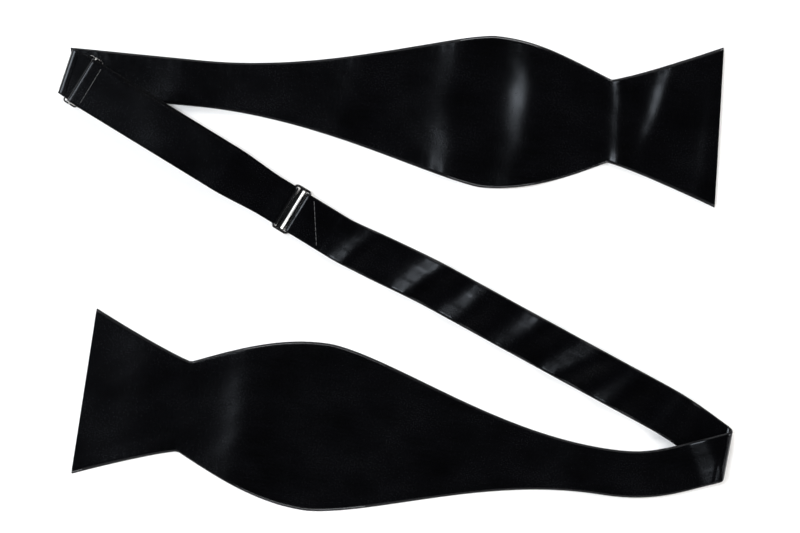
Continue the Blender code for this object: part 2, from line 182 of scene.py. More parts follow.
def half_width(blade, s):
    """Half the width at distance s from the tail."""
    if s <= blade.neck_at:
        flare = (1 - s / blade.neck_at) ** TAIL_CURVE
        return blade.neck_half + (blade.tail_half - blade.neck_half) * flare
    if s <= blade.bulge_at:
        turn = (s - blade.neck_at) / (blade.bulge_at - blade.neck_at) * math.pi / 2
        return blade.neck_half + (blade.bulge_half - blade.neck_half) * math.sin(turn)
    t = min((s - blade.bulge_at) / (blade.band_at - blade.bulge_at), 1)
    return BAND_HALF + (blade.bulge_half - BAND_HALF) * (1 - float(ease(t**blade.ease)))


class Rows:
    """The rows of a sheet: middle, direction across, half width, normal, and how far along the cloth."""

    def __init__(self):
        self.middle, self.across, self.half, self.normal = [], [], [], []
        self.along, self.skew, self.spread = [], [], []

    def add(self, middle, across, half, normal, along, skew, spread):
        """half is square to the band; spread is half the space between the two cloths."""
        self.middle.append(middle)
        self.across.append(across)
        self.half.append(half)
        self.normal.append(normal)
        self.along.append(along)
        self.skew.append(skew)
        self.spread.append(spread)

    def extend(self, other):
        for mine, theirs in zip(self.__dict__.values(), other.__dict__.values()):
            mine.extend(theirs)

    def turned(self):
        for values in self.__dict__.values():
            values.reverse()
        return self


def level_row(rows, path, s, half, z, skew, side, along, spread):
    """Adds a level row at distance s on a path. side is 1 where the outer cloth is the upper one, or -1."""
    point, heading = path.at(s)
    across = direction(heading + 90 + skew)
    across = across if across[1] > 0 else -across
    rows.add(point * (1, 1, 0) + UP * z, across, half, UP * side, along, math.radians(skew), spread)


def fold_rows(fold, start, end, along_of, spread, skew, step=0.00035):
    """The rows round a fold, from start to end round its bend. skew is in degrees."""
    rows = Rows()
    for q in np.linspace(start, end, math.ceil((end - start) / step) + 1):
        point, normal = fold.place(float(q))
        along = along_of(float(q) / math.cos(fold.half_angle))
        rows.add(point, fold.crease, BAND_HALF, normal, along, math.radians(skew), spread)
    return rows


# Where everything is, worked out from one joint of the frame

JOINTS = {joint["name"]: joint for joint in frame["joints"]}
ALONG = direction(STRAP_HEADING)
ACROSS = square_to(ALONG)
MIDDLE = np.array(JOINTS["band_swing"]["pos_m"]) - ALONG * BAND_BAR_AT  # of the buckle
PLAN_MIDDLE = MIDDLE * (1, 1, 0)
STRAP_BAR = MIDDLE - ALONG * STRAP_BAR_AT
BAND_BAR = MIDDLE + ALONG * BAND_BAR_AT
SLIDE_PLACE = PLAN_MIDDLE - ALONG * (STRAP_LENGTH - SLIDE_AT) + UP * SLIDE_BAR_Z


def make_left_fold():
    bend = PLAN_MIDDLE - ALONG * (STRAP_LENGTH - LEFT_RADIUS / math.cos(math.radians(LEFT_SKEW)))
    fold = Fold(bend, UPPER_HEADINGS[0][1], STRAP_HEADING, BAND_Z, STRAP_Z)
    fold.base = bend + fold.crease * fold.drift * fold.bend
    return fold


LEFT = make_left_fold()
BAND_START = BAND_BAR * (1, 1, 0) + ALONG * (BAND_LEG + GAP)
BAND_RUN = BAND_LENGTH - BAND_BAR_AT - BAND_LEG - FOLD_LEAD - 2 * GAP
BAND_PATH = Path(BAND_START, BAND_RUN, BAND_HEADINGS)


def make_right_fold():
    end, heading = BAND_PATH.at(BAND_RUN)
    base = end + direction(heading) * (FOLD_LEAD + GAP) / math.cos(math.radians(RIGHT_SKEW))
    return Fold(base, heading + 180, LOWER_HEADINGS[0][1], BAND_Z, LOWER_START_Z)


RIGHT = make_right_fold()
UPPER_PATH = Path(LEFT.leg_start(False), UPPER_LENGTH, UPPER_HEADINGS)
LOWER_PATH = Path(RIGHT.leg_start(True), LOWER_LENGTH, LOWER_HEADINGS)


# Meshes


def mesh_object(name, points, faces, uvs=None, sharp=60):
    """A smooth mesh with cloth coordinates in its UV layer. Edges over sharp degrees stay sharp."""
    mesh = bpy.data.meshes.new(name)
    mesh.from_pydata([tuple(p) for p in points], [], faces)
    if uvs is not None:
        layer = mesh.uv_layers.new(name="cloth")
        for loop in mesh.loops:
            layer.data[loop.index].uv = uvs[loop.vertex_index]
    mesh.validate()
    mesh.shade_smooth()
    mesh.set_sharp_from_angle(angle=math.radians(sharp))
    obj = bpy.data.objects.new(name, mesh)
    bpy.context.scene.collection.objects.link(obj)
    return obj


def columns(count):
    """Shares of the half width, closer together near the two edges."""
    t = np.linspace(-1, 1, count)
    return 0.35 * t + 0.65 * np.sin(t * math.pi / 2)


def grid_of(rows, offset_of, inset=0.0, count=41, lift_of=None):
    """Points and cloth coordinates. offset_of(row, v, half) is along the normal; lift_of(along, v) is up."""
    shares = columns(count)
    points, uvs = [], []
    for i, middle in enumerate(rows.middle):
        half, skew = rows.half[i] - inset, rows.skew[i]
        v = shares * half
        slant = v / math.cos(skew)
        spot = middle + np.outer(slant, rows.across[i])
        spot = spot + np.outer(offset_of(i, v, rows.half[i]), rows.normal[i])
        along = rows.along[i] + v * math.tan(skew)
        if lift_of is not None:
            spot = spot + np.outer(lift_of(along, v, rows.half[i]), UP)
        points.append(spot)
        uvs.append(np.stack([along, v], axis=1))
    return np.array(points), np.array(uvs)


def sheet_mesh(name, points, uvs, thickness):
    """A closed thin sheet whose middle is the grid of points."""
    du = np.gradient(points, axis=0)
    dv = np.gradient(points, axis=1)
    normal = np.cross(du, dv)
    normal /= np.linalg.norm(normal, axis=2, keepdims=True)
    rows, cols = points.shape[:2]
    both = np.concatenate([points + normal * thickness / 2, points - normal * thickness / 2])
    flat = both.reshape(-1, 3)
    count = rows * cols
    faces = []
    for i in range(rows - 1):
        for j in range(cols - 1):
            a, b = i * cols + j, (i + 1) * cols + j
            faces.append((a, b, b + 1, a + 1))
            faces.append((a + count, a + 1 + count, b + 1 + count, b + count))
    rim = [(i, 0) for i in range(rows)] + [(rows - 1, j) for j in range(1, cols)]
    rim += [(i, cols - 1) for i in range(rows - 2, -1, -1)] + [(0, j) for j in range(cols - 2, 0, -1)]
    rim = [i * cols + j for i, j in rim]
    for a, b in zip(rim, rim[1:] + rim[:1]):
        faces.append((b, a, a + count, b + count))
    return mesh_object(name, flat, faces, np.concatenate([uvs, uvs]).reshape(-1, 2))


def band_mesh(name, rows, thickness, roll=0.0007, count=15, lift_of=None):
    """A closed flat band with rounded edges."""
    shares = columns(count)
    points, uvs = [], []
    for i, middle in enumerate(rows.middle):
        half, skew = rows.half[i], rows.skew[i]
        v = shares * half
        t = np.clip((np.abs(v) - (half - roll)) / roll, 0, 1)
        rise = np.maximum(np.sqrt(1 - t * t), 0.25) * thickness / 2
        ring_v = np.concatenate([v, v[::-1]])
        ring_rise = np.concatenate([rise, -rise[::-1]])
        spot = middle + np.outer(ring_v / math.cos(skew), rows.across[i])
        spot = spot + np.outer(ring_rise, rows.normal[i])
        along = rows.along[i] + ring_v * math.tan(skew)
        if lift_of is not None:
            spot = spot + np.outer(lift_of(along, ring_v, half), UP)
        points.append(spot)
        uvs.append(np.stack([along, ring_v], axis=1))
    around = 2 * count
    flat = np.concatenate(points)
    faces = []
    for i in range(len(points) - 1):
        for j in range(around):
            k = (j + 1) % around
            faces.append((i * around + j, i * around + k, (i + 1) * around + k, (i + 1) * around + j))
    faces.append(tuple(range(around))[::-1])
    last = (len(points) - 1) * around
    faces.append(tuple(last + j for j in range(around)))
    obj = mesh_object(name, flat, faces, np.concatenate(uvs))
    outward(obj)
    return obj


def outward(obj):
    """Turns all faces to look outwards."""
    work = bmesh.new()
    work.from_mesh(obj.data)
    bmesh.ops.recalc_face_normals(work, faces=work.faces)
    work.to_mesh(obj.data)
    work.free()


def sweep(name, points, radius, closed=False, sides=14, flatten=1.0):
    """A round wire along points. radius is a number or one for each point."""
    points = np.array(points, dtype=float)
    count = len(points)
    radii = np.broadcast_to(np.asarray(radius, dtype=float), (count,))
    ahead = np.roll(points, -1, axis=0) - np.roll(points, 1, axis=0)
    if not closed:
        ahead[0], ahead[-1] = points[1] - points[0], points[-1] - points[-2]
    ahead /= np.linalg.norm(ahead, axis=1, keepdims=True)
    turns = np.arange(sides) / sides * 2 * math.pi
    side = np.cross(ahead[0], UP)
    if np.linalg.norm(side) < 1e-3:
        side = np.cross(ahead[0], (1.0, 0.0, 0.0))
    side /= np.linalg.norm(side)
    spots, uvs, gone = [], [], 0.0
    for i in range(count):
        side = side - ahead[i] * side.dot(ahead[i])
        side /= np.linalg.norm(side)
        top = np.cross(side, ahead[i])
        if i:
            gone += float(np.linalg.norm(points[i] - points[i - 1]))
        for turn in turns:
            ray = side * math.cos(turn) + top * math.sin(turn) * flatten
            spots.append(points[i] + ray * radii[i])
            uvs.append((gone, turn / (2 * math.pi) * 0.004))
    faces = []
    for i in range(count if closed else count - 1):
        a, b = i * sides, (i + 1) % count * sides
        faces += [(a + j, a + (j + 1) % sides, b + (j + 1) % sides, b + j) for j in range(sides)]
    if not closed:
        faces += [tuple(range(sides))[::-1], tuple((count - 1) * sides + j for j in range(sides))]
    obj = mesh_object(name, spots, faces, uvs, sharp=50)
    outward(obj)
    return obj


# Materials. Each helper adds one node to a tree and returns the socket that comes out of it.


def new_material(name):
    """(material, its tree, its shader)"""
    made = bpy.data.materials.new(name)
    made.use_nodes = True
    tree = made.node_tree
    return made, tree, tree.nodes["Principled BSDF"]


def node(tree, kind, **values):
    made = tree.nodes.new(kind)
    for key, value in values.items():
        if key in made.inputs:
            made.inputs[key].default_value = value
        else:
            setattr(made, key, value)
    return made


def ramp_between(tree, source, low, high, start=0.0, end=1.0):
    """low to high as source goes from start to end."""
    made = node(tree, "ShaderNodeMapRange")
    for key, value in zip(("From Min", "From Max", "To Min", "To Max"), (start, end, low, high)):
        made.inputs[key].default_value = value
    tree.links.new(source, made.inputs["Value"])
    return made.outputs["Result"]


def mapped(tree, scale, attribute="UV"):
    """Cloth coordinates, metres along and across, times scale."""
    place = node(tree, "ShaderNodeTexCoord")
    mapping = node(tree, "ShaderNodeMapping")
    mapping.inputs["Scale"].default_value = scale
    tree.links.new(place.outputs[attribute], mapping.inputs["Vector"])
    return mapping.outputs["Vector"]


def noise(tree, vector, scale, detail=4.0, rough=0.55):
    made = node(tree, "ShaderNodeTexNoise")
    made.inputs["Scale"].default_value = scale
    made.inputs["Detail"].default_value = detail
    made.inputs["Roughness"].default_value = rough
    tree.links.new(vector, made.inputs["Vector"])
    return made.outputs["Fac"]


def math_node(tree, operation, a, b):
    made = node(tree, "ShaderNodeMath", operation=operation)
    for socket, value in zip(made.inputs, (a, b)):
        if isinstance(value, (int, float)):
            socket.default_value = value
        else:
            tree.links.new(value, socket)
    return made.outputs[0]


def weighed(tree, a, share_a, b, share_b):
    return math_node(
        tree, "ADD", math_node(tree, "MULTIPLY", a, share_a), math_node(tree, "MULTIPLY", b, share_b)
    )


def mixed(tree, factor, a, b):
    """The colour a to b as factor goes from 0 to 1."""
    made = node(tree, "ShaderNodeMix", data_type="RGBA")
    made.inputs[6].default_value = (*a, 1)
    made.inputs[7].default_value = (*b, 1)
    tree.links.new(factor, made.inputs[0])
    return made.outputs[2]


def bumped(tree, height, strength, distance, normal=None):
    made = node(tree, "ShaderNodeBump")
    made.inputs["Strength"].default_value = strength
    made.inputs["Distance"].default_value = distance
    tree.links.new(height, made.inputs["Height"])
    if normal is not None:
        tree.links.new(normal, made.inputs["Normal"])
    return made.outputs["Normal"]


def satin(name, dark, light, rough, level):
    """Warp satin: long floats along the band, a soft band of light across them, and a fine grain."""
    made, tree, shader = new_material(name)
    floats = noise(tree, mapped(tree, (900, 5200, 1)), 1.0, 2.0)
    slubs = noise(tree, mapped(tree, (70, 1500, 1)), 1.0, 3.0)
    cloudy = noise(tree, mapped(tree, (38, 52, 1)), 1.0, 4.0, 0.5)
    tone = ramp_between(tree, weighed(tree, slubs, 0.55, cloudy, 0.45), 0, 1, 0.35, 0.65)
    tree.links.new(mixed(tree, tone, dark, light), shader.inputs["Base Color"])
    grain = noise(tree, mapped(tree, (1500, 1900, 1)), 1.0, 1.0)
    uneven = weighed(tree, cloudy, 0.35, grain, 0.65)
    gloss = ramp_between(tree, uneven, rough - 0.05, rough + 0.08, 0.35, 0.65)
    tree.links.new(gloss, shader.inputs["Roughness"])
    normal = bumped(tree, math_node(tree, "ADD", floats, grain), 0.16, 0.00005)
    normal = bumped(tree, slubs, 0.08, 0.00006, normal)
    tree.links.new(normal, shader.inputs["Normal"])
    tangent = node(tree, "ShaderNodeTangent", direction_type="UV_MAP", uv_map="cloth")
    tree.links.new(tangent.outputs[0], shader.inputs["Tangent"])
    shader.inputs["Anisotropic"].default_value = 0.55
    shader.inputs["Anisotropic Rotation"].default_value = 0.25
    shader.inputs["Specular IOR Level"].default_value = level
    shader.inputs["Specular Tint"].default_value = (0.90, 0.94, 1.0, 1)
    return made


def canvas(name):
    """Plain woven interlining, with its yarns raised."""
    made, tree, shader = new_material(name)
    weave = []
    for direction_name in ("X", "Y"):
        wave = node(tree, "ShaderNodeTexWave", bands_direction=direction_name)
        wave.inputs["Scale"].default_value = 1.0
        wave.inputs["Distortion"].default_value = 0.6
        tree.links.new(mapped(tree, (420, 420, 1)), wave.inputs["Vector"])
        weave.append(wave.outputs["Fac"])
    yarns = math_node(tree, "MAXIMUM", weave[0], weave[1])
    hairs = noise(tree, mapped(tree, (900, 900, 1)), 1.0)
    tone = mixed(tree, math_node(tree, "MULTIPLY", yarns, hairs), (0.36, 0.34, 0.30), (0.68, 0.66, 0.60))
    tree.links.new(tone, shader.inputs["Base Color"])
    tree.links.new(bumped(tree, yarns, 0.5, 0.0001), shader.inputs["Normal"])
    shader.inputs["Roughness"].default_value = 0.92
    return made


def thread(name):
    """Two-ply sewing thread."""
    made, tree, shader = new_material(name)
    ply = node(tree, "ShaderNodeTexWave", bands_direction="DIAGONAL")
    ply.inputs["Scale"].default_value = 1.0
    ply.inputs["Distortion"].default_value = 0.4
    tree.links.new(mapped(tree, (900, 900, 1)), ply.inputs["Vector"])
    tone = mixed(tree, ply.outputs["Fac"], (0.006, 0.006, 0.008), (0.030, 0.031, 0.036))
    tree.links.new(tone, shader.inputs["Base Color"])
    tree.links.new(bumped(tree, ply.outputs["Fac"], 0.6, 0.00008), shader.inputs["Normal"])
    shader.inputs["Roughness"].default_value = 0.5
    shader.inputs["Sheen Weight"].default_value = 0.3
    return made


def metal(name, dark, light, metallic, rough, coat):
    """Bright plating or enamel, with faint handling scratches and a slightly uneven surface."""
    made, tree, shader = new_material(name)
    wear = noise(tree, mapped(tree, (1, 1, 1), "Object"), 420.0, 5.0)
    scratch = noise(tree, mapped(tree, (90, 2600, 1)), 1.0, 2.0)
    tone = mixed(tree, ramp_between(tree, wear, 0, 1, 0.4, 0.7), light, dark)
    tree.links.new(tone, shader.inputs["Base Color"])
    gloss = ramp_between(tree, scratch, rough - 0.04, rough + 0.10, 0.3, 0.7)
    tree.links.new(gloss, shader.inputs["Roughness"])
    normal = bumped(tree, math_node(tree, "ADD", wear, scratch), 0.12, 0.00004)
    tree.links.new(normal, shader.inputs["Normal"])
    shader.inputs["Metallic"].default_value = metallic
    shader.inputs["Coat Weight"].default_value = coat
    return made


BLACKS = ((0.0002, 0.0002, 0.0003), (0.0009, 0.0009, 0.0014))
BLACK_SATIN = satin("black_satin", *BLACKS, rough=0.205, level=0.34)
SEAM_SATIN = satin("black_satin_seam", *BLACKS, rough=0.400, level=0.10)
CANVAS = canvas("woven_interlining")
THREAD = thread("black_thread")
ENAMEL = metal("black_enamel", (0.0015, 0.0015, 0.0018), (0.0040, 0.0040, 0.0044), 0.0, 0.22, 0.5)
NICKEL = metal("bright_nickel", (0.78, 0.78, 0.76), (0.93, 0.93, 0.92), 0.45, 0.34, 0.0)
DULL_NICKEL = metal("dull_nickel", (0.20, 0.20, 0.20), (0.34, 0.34, 0.33), 0.9, 0.30, 0.0)


def finish_piece(obj, look):
    obj.data.materials.append(look)


def dull_seams(obj, halves, cols):
    """The cloth turned over at an edge seam loses its shine. obj is a sheet_mesh with cols columns."""
    obj.data.materials.append(SEAM_SATIN)
    cloth = obj.data.uv_layers["cloth"].data
    rows = len(halves)
    for face in obj.data.polygons:
        row = min(face.vertices) % (rows * cols) // cols
        v = sum(abs(cloth[i].uv.y) for i in face.loop_indices) / face.loop_total
        face.material_index = int(halves[row] - v < SEAM_SHOWS)


# Cloth lifts: soft waves left by the folds of wear. Distances are along the cloth, from the left
# fold (upper half), the buckle (fixed band) or the right fold (lower half). A lift takes the place
# along the cloth, the place across it (v) and the half width there, and gives the height.


def ridge(along, v, at, width, height, lean=0.0):
    """A soft ridge across the cloth, a little crooked and uneven. lean turns it."""
    crooked = 0.0016 * np.sin(v / 0.0125 + at * 311) + 0.0005 * np.sin(v / 0.0050 + at * 173)
    x = (along - at - lean * v - crooked) / width
    uneven = 1 + 0.20 * np.sin(v / 0.0095 + at * 97) + 0.04 * np.sin(v / 0.0040 + at * 57)
    return height * np.exp(-x * x) * uneven


def ripple(along, v, seed, scale, height):
    """Gentle unevenness: a fixed sum of slow waves."""
    made = 0.0
    for k in range(6):
        a, b, c = (math.sin(seed * 12.9898 + k * 78.233 + n * 37.719) for n in range(3))
        made = made + np.sin((a * along + b * v) / scale * 2 * math.pi + c * 6.0)
    return height * (made / 6 + 0.45)


# Each wave: where it is, its width and height, and how it leans
UPPER_WAVES = [
    (0.046, 0.008, 0.0003, 0.30), (0.126, 0.009, 0.0005, 0.2), (0.174, 0.011, 0.0014, 0.05),
    (0.207, 0.012, 0.0020, 0.03), (0.2465, 0.0045, 0.0011, -0.05), (0.2635, 0.007, 0.0014, 0.25),
    (0.287, 0.005, 0.0006, 0.0),
]
LOWER_WAVES = [
    (0.100, 0.012, 0.0002, 0.15), (0.139, 0.013, 0.0002, -0.15),
    (0.216, 0.009, 0.0007, 0.05), (0.263, 0.009, 0.0002, -0.1),
]
BAND_WAVES = [
    (0.033, 0.006, 0.0013, 0.5), (0.064, 0.008, 0.0019, 0.45), (0.088, 0.008, 0.0017, 0.5),
    (0.118, 0.009, 0.0021, 0.45), (0.143, 0.009, 0.0020, 0.5), (0.167, 0.009, 0.0021, 0.45),
    (0.193, 0.008, 0.0012, 0.4),
]


def body_lift(waves, seed, fade_in, fade_out, length):
    """The lift of a run: its waves over an uneven ground, fading to nothing at its ends."""

    def lift(along, v, half):
        made = ripple(along, v, seed, 0.060, 0.0003) + ripple(along, v, seed + 3, 0.011, 0.00005)
        for at, width, height, lean in waves:
            made = made + ridge(along, v, at, width, height, lean)
        made = made * ease(along / fade_in)
        if fade_out:
            made = made * ease((length - along) / fade_out)
        return np.maximum(made, 0)

    return lift


def fold_dip(along, v, half):
    """The lower half's band sinks a little beside the right fold, in a soft slope that takes the light."""
    depth, down, back_up = 0.0023, 0.0115, 0.060
    sunk = ease((along - 0.10 * v) / down) * ease(along / 0.003)
    return -depth * sunk * (1 - ease((along - down) / back_up))


def face_detail(seed):
    """On the face only: the turned seam allowance shows, and the edge seam puckers a little."""

    def detail(along, v, half):
        from_edge = half - np.abs(v)
        allowance = 0.00006 * ease(from_edge / 0.0015) * (1 - ease((from_edge - 0.0062) / 0.0012))
        pucker = 0.00007 * np.sin(along / 0.0043 * 2 * math.pi + 2.0 * np.sin(along / 0.017 + seed))
        return allowance + (pucker + 0.00007) * np.exp(-from_edge / 0.0030) * ease(from_edge / 0.0008)

    return detail


def added(*lifts):
    return lambda along, v, half: sum(lift(along, v, half) for lift in lifts)


def rolled(v, half, spread):
    """1 inside, and the least share that keeps the two cloths apart at the edge seam."""
    t = np.clip((np.abs(v) - (half - EDGE_ROLL)) / EDGE_ROLL, 0, 1)
    least = CLOTH / (2 * spread)
    return least + (1 - least) * np.sqrt(1 - t * t)


def two_cloths(prefix, rows, lift, seed, detail_on_outer):
    """The outer and inner cloth of a run. The one with the detail rolls over to the other at its edges."""
    made = {}
    for name, outer in (("outer", True), ("inner", False)):
        rolls = outer == detail_on_outer

        def offset(i, v, half, outer=outer, rolls=rolls):
            spread = rows.spread[i]
            side = 1 if outer else -1
            if not rolls:
                return np.full(len(v), side * spread)
            return -side * spread + side * 2 * spread * rolled(v, half, spread)

        lifts = added(lift, face_detail(seed)) if rolls else lift
        points, uvs = grid_of(rows, offset, lift_of=lifts)
        piece = sheet_mesh(f"{prefix}_{'face' if rolls else 'back'}_satin", points, uvs, CLOTH)
        finish_piece(piece, BLACK_SATIN)
        dull_seams(piece, rows.half, points.shape[1])
        made[name] = piece
    return made["outer"], made["inner"]


def steps(start, end, step=ROW_STEP):
    return [float(x) for x in np.linspace(start, end, max(math.ceil((end - start) / step), 1) + 1)]


def upper_half():
    leg = FOLD_LEAD + GAP
    run = Rows()
    for s in steps(0, UPPER_LENGTH):
        skew = LEFT_SKEW * (1 - float(ease(s / SKEW_RUN)))
        spread = TIGHT + (LOOSE - TIGHT) * float(ease(s / SPREAD_RUN))
        half = half_width(UPPER, UPPER_LENGTH - s)
        level_row(run, UPPER_PATH, s, half, BAND_Z, skew, -1, s, spread)
    # from the high end of the fold, down round it and out to the tail
    rows = fold_rows(LEFT, OVERLAP - leg, LEFT.bend + leg, lambda q: -leg - q, TIGHT, LEFT_SKEW).turned()
    rows.extend(run)
    lift = body_lift(UPPER_WAVES, 1.7, 0.045, 0.0, UPPER_LENGTH)
    outer, inner = two_cloths("upper", rows, lift, 0.3, detail_on_outer=False)
    for piece, nodes in ((outer, ("upper_back",)), (inner, ("upper_face", "left_fold_band"))):
        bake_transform(piece)
        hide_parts(*nodes)
    canvas_layer(run, "upper", "upper_half", lift)


def canvas_layer(run, prefix, body, lift):
    """The interlining, inside the edge seams."""
    points, uvs = grid_of(
        run, lambda i, v, half: np.zeros(len(v)), inset=CANVAS_INSET, count=25, lift_of=lift
    )
    points, uvs = points[1:-2], uvs[1:-2]
    piece = sheet_mesh(prefix + "_canvas", points, uvs, INTERLINING * 0.8)
    finish_piece(piece, CANVAS)
    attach(piece, body)
    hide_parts(prefix + "_interlining")


def lower_height(s):
    fallen = float(ease((s - LOWER_RAMP[0]) / (LOWER_RAMP[1] - LOWER_RAMP[0])))
    return LOWER_START_Z + (BAND_Z - LOWER_START_Z) * fallen


def lower_half():
    leg = FOLD_LEAD + GAP
    run = Rows()
    for s in steps(0, LOWER_LENGTH):
        skew = -RIGHT_SKEW * (1 - float(ease(s / SKEW_RUN)))
        spread = FOLDED + (LOOSE - FOLDED) * float(ease(s / SPREAD_RUN))
        half = half_width(LOWER, LOWER_LENGTH - s)
        level_row(run, LOWER_PATH, s, half, lower_height(s), skew, 1, s, spread)
    bend = RIGHT.bend
    rows = fold_rows(RIGHT, -leg, bend + leg - OVERLAP, lambda q: q - bend - leg, FOLDED, -RIGHT_SKEW)
    rows.extend(run)
    lift = added(body_lift(LOWER_WAVES, 4.1, 0.050, 0.0, LOWER_LENGTH), fold_dip)
    outer, inner = two_cloths("lower", rows, lift, 1.1, detail_on_outer=True)
    for piece, nodes in ((outer, ("lower_face", "right_fold_band")), (inner, ("lower_back",))):
        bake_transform(piece)
        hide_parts(*nodes)
    canvas_layer(run, "lower", "lower_half", lift)


def leg_height(bar_z, radius, end_z, part):
    """Height of a loop's leg, from its bar (part 0) to its end (part 1)."""
    return bar_z + radius + (end_z - bar_z - radius) * float(ease(part))


def loop_rows(bar, along, radius, leg, flap, half, end_z, from_start, step=0.0007):
    """Rows that come along a leg, round a bar and back under it. along points over the bar."""
    rows = Rows()
    across = square_to(along)
    for part in np.linspace(1, 0, max(math.ceil(leg / step), 2)):
        z = leg_height(bar[2], radius, end_z, float(part))
        spot = bar - along * leg * part
        rows.add(spot * (1, 1, 0) + UP * z, across, half, UP, from_start - leg * part, 0.0, TIGHT)
    for turn in np.linspace(0, math.pi, 15)[1:]:
        ray = along * math.sin(turn) + UP * math.cos(turn)
        rows.add(bar + ray * radius, across, half, ray, from_start + radius * turn, 0.0, TIGHT)
    gone = from_start + radius * math.pi
    for part in np.linspace(0, 1, max(math.ceil(flap / step), 2))[1:]:
        spot = bar - along * flap * part - UP * radius
        rows.add(spot, across, half, -UP, gone + flap * part, 0.0, TIGHT)
    return rows


def fixed_band():
    """The plain half of the neckband, with its end turned back round the buckle's bar."""
    rows = loop_rows(
        BAND_BAR, -ALONG, BUCKLE_LOOP_RADIUS, BAND_LEG, BAND_FLAP, LOOP_HALF, BAND_START_Z, 0.0
    ).turned()
    rows.along = [-a for a in rows.along]
    run = Rows()
    for s in steps(GAP, BAND_RUN):
        z = BAND_START_Z + (BAND_Z - BAND_START_Z) * float(ease(s / BAND_RAMP))
        half = LOOP_HALF + (BAND_HALF - LOOP_HALF) * float(ease(s / BAND_RAMP))
        skew = RIGHT_SKEW * float(ease((s - BAND_RUN + SKEW_RUN) / SKEW_RUN))
        near, far = float(ease(s / BAND_RAMP)), float(ease((s - BAND_RUN + SPREAD_RUN) / SPREAD_RUN))
        spread = TIGHT + (LOOSE - TIGHT) * near + (FOLDED - LOOSE) * far
        level_row(run, BAND_PATH, s, half, z, skew, 1, BAND_LEG + s, spread)
    rows.extend(run)
    lift = body_lift(BAND_WAVES, 2.6, 0.030, 0.030, BAND_RUN + BAND_LEG)
    outer, inner = two_cloths("fixed_band", rows, lift, 2.2, detail_on_outer=True)
    for piece, nodes in ((outer, ("fixed_band_face", "fixed_band_loop")), (inner, ("fixed_band_back",))):
        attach(piece, "fixed_band")
        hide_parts(*nodes)
    canvas_layer(run, "fixed_band", "fixed_band", lift)


def strap_lift(seed, height, start, end):
    def lift(along, v, half):
        made = ripple(along, v, seed, 0.028, height)
        return np.maximum(made * ease((along - start) / 0.02) * ease((end - along) / 0.02), 0)

    return lift


def strap():
    """The doubled strap: one piece from the left fold to the buckle, one back round it to the slide."""
    end = STRAP_BAR * (1, 1, 0) - ALONG * STRAP_LEG
    fold_leg = LEFT.leg_start(True) - LEFT.inward * OVERLAP

    def run(rows, start, heights, skew, along_at, halves, aside, widening):
        """Adds the rows from start to the buckle, between two heights and two half widths."""
        (high_z, low_z), (first_half, full_half) = heights, halves
        length = float(np.linalg.norm(end - start))
        for s in steps(0, length):
            near = float(ease((s - length + RAMP) / RAMP))
            wide = float(ease(s / widening))
            half = first_half + (full_half - first_half) * wide + (LOOP_HALF - full_half) * near
            turned = skew * (1 - float(ease(s / SKEW_RUN)))
            spot = start + (end - start) * (s / length) - ACROSS * aside * wide * (1 - near)
            across = direction(STRAP_HEADING + 90 + turned)
            z = high_z + (low_z - high_z) * near
            rows.add(spot * (1, 1, 0) + UP * z, across, half, UP, along_at + s, math.radians(turned), TIGHT)
        return length

    rows = loop_rows(
        SLIDE_PLACE, -ALONG, SLIDE_LOOP_RADIUS, SLIDE_LEG, SLIDE_FLAP, STRAP_HALF, RETURN_Z, 0.0
    ).turned()
    rows.along = [-a for a in rows.along]
    slide_leg = SLIDE_LEG + LEG_LEAD
    start = SLIDE_PLACE * (1, 1, 0) + ALONG * slide_leg
    upper_z = BUCKLE_Z + BUCKLE_LOOP_RADIUS
    halves = (STRAP_HALF, STRAP_HALF - RETURN_INSET)
    length = run(rows, start, (RETURN_Z, upper_z), 0.0, slide_leg, halves, RETURN_INSET, WIDENING)
    total = slide_leg + length + STRAP_LEG
    loop = loop_rows(
        STRAP_BAR, ALONG, BUCKLE_LOOP_RADIUS, STRAP_LEG - LEG_TRIM, STRAP_LEG, LOOP_HALF, upper_z, total
    )
    rows.extend(loop)
    lift = strap_lift(seed=5.3, height=0.0002, start=0.012, end=length - RAMP + 0.014)
    piece = band_mesh("strap_return_satin", rows, STRAP, lift_of=lift)
    finish_piece(piece, BLACK_SATIN)
    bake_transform(piece)
    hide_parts("strap_return", "strap_slide_loop", "strap_buckle_loop")

    rows = Rows()
    halves = (BAND_HALF, STRAP_HALF)
    run(rows, fold_leg, (STRAP_Z, STRAP / 2), LEFT_SKEW, 0.0, halves, 0.0, OUTGOING_WIDENING)
    piece = band_mesh("strap_outgoing_satin", rows, STRAP)
    finish_piece(piece, BLACK_SATIN)
    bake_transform(piece)
    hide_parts("strap_outgoing")


# Hardware and stitches


# The plate under the buckle's bright bar, from the buckle's middle: its two faces below, its edges
WEB_DEPTHS = (0.00135, 0.00095)
WEB_BEFORE, WEB_AFTER, WEB_CORNER = (0.00195, 0.00268), 0.00110, 0.0004
STITCHES, STITCH_INSET = 9, 0.0014
STITCH_SHARE, STITCH_RISE, STITCH_CLEAR, THREAD_RADIUS = 0.80, 0.00015, 0.00004, 0.00014


def rounded(corners, radius, closed, count=9):
    """Points along the line through square corners, each rounded off."""
    points = []
    total = len(corners)
    for i, corner in enumerate(corners):
        if not closed and i in (0, total - 1):
            points.append(corner)
            continue
        back = corners[i - 1] - corner
        ahead = corners[(i + 1) % total] - corner
        back, ahead = back / np.linalg.norm(back), ahead / np.linalg.norm(ahead)
        centre = corner + (back + ahead) * radius
        for turn in np.linspace(0, math.pi / 2, count):
            points.append(centre - ahead * radius * math.cos(turn) - back * radius * math.sin(turn))
    return points


def frame_corners(middle, before, after, half):
    places = ((-before, half), (after, half), (after, -half), (-before, -half))
    return [middle + ALONG * x + ACROSS * y for x, y in places]


